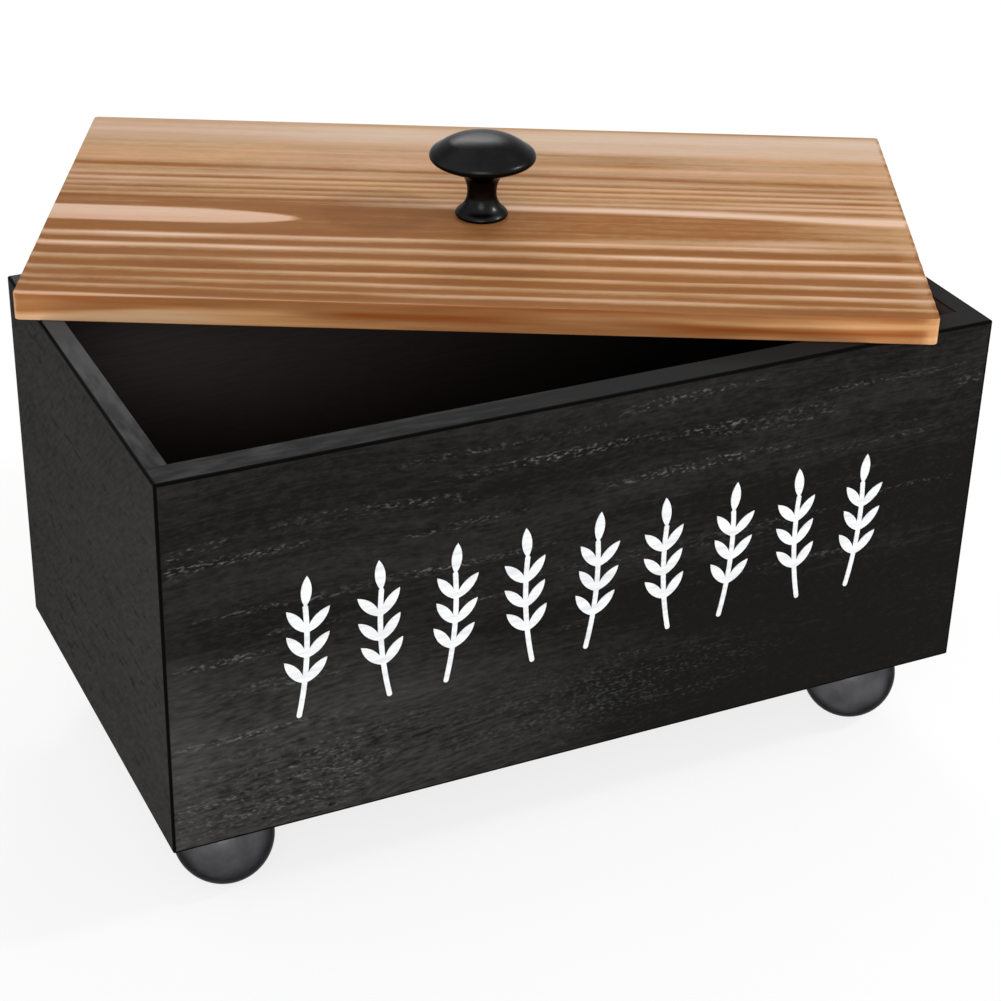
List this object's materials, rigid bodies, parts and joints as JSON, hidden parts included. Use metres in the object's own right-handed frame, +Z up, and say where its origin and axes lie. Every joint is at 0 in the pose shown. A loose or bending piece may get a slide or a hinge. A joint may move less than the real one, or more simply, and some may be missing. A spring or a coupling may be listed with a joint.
{
  "type": "laundry pod container",
  "caption": "Rectangular dark wooden box on ball feet, with a loose grooved wooden lid and a mushroom knob, half open, for laundry pods.",
  "frame": {"origin": "centre of the four ball feet, on the surface that they stand on", "axes": "+Z up, +X along the box's length to the right of the painted front, +Y from the painted front to the back"},
  "size_m": [0.2924, 0.2386, 0.1745],
  "materials": {
    "stained_wood": "matte black stain with open grain",
    "foot_paint": "semi-gloss black paint",
    "torched_wood": "torched and brushed, satin",
    "knob_black": "satin black",
    "white_paint": "matte brushed paint",
    "screw_steel": "zinc plated",
    "pin_steel": "bright wire"
  },
  "bodies": {
    "box": {"front_panel": "stained_wood", "back_panel": "stained_wood", "left_end_panel": "stained_wood", "right_end_panel": "stained_wood", "bottom_panel": "stained_wood", "front_left_foot": "foot_paint", "front_right_foot": "foot_paint", "back_left_foot": "foot_paint", "back_right_foot": "foot_paint", "foot_screws": "screw_steel", "corner_pins": "pin_steel", "floor_pins": "pin_steel", "painted_sprigs": "white_paint"},
    "lid": {"lid_board": "torched_wood", "knob": "knob_black", "knob_screw": "screw_steel"}
  },
  "joints": [
    {"name": "lid_lift", "type": "slide", "parent": "box", "child": "lid", "axis": [0, 0, 1], "range_m": [0, 0.12]}
  ]
}
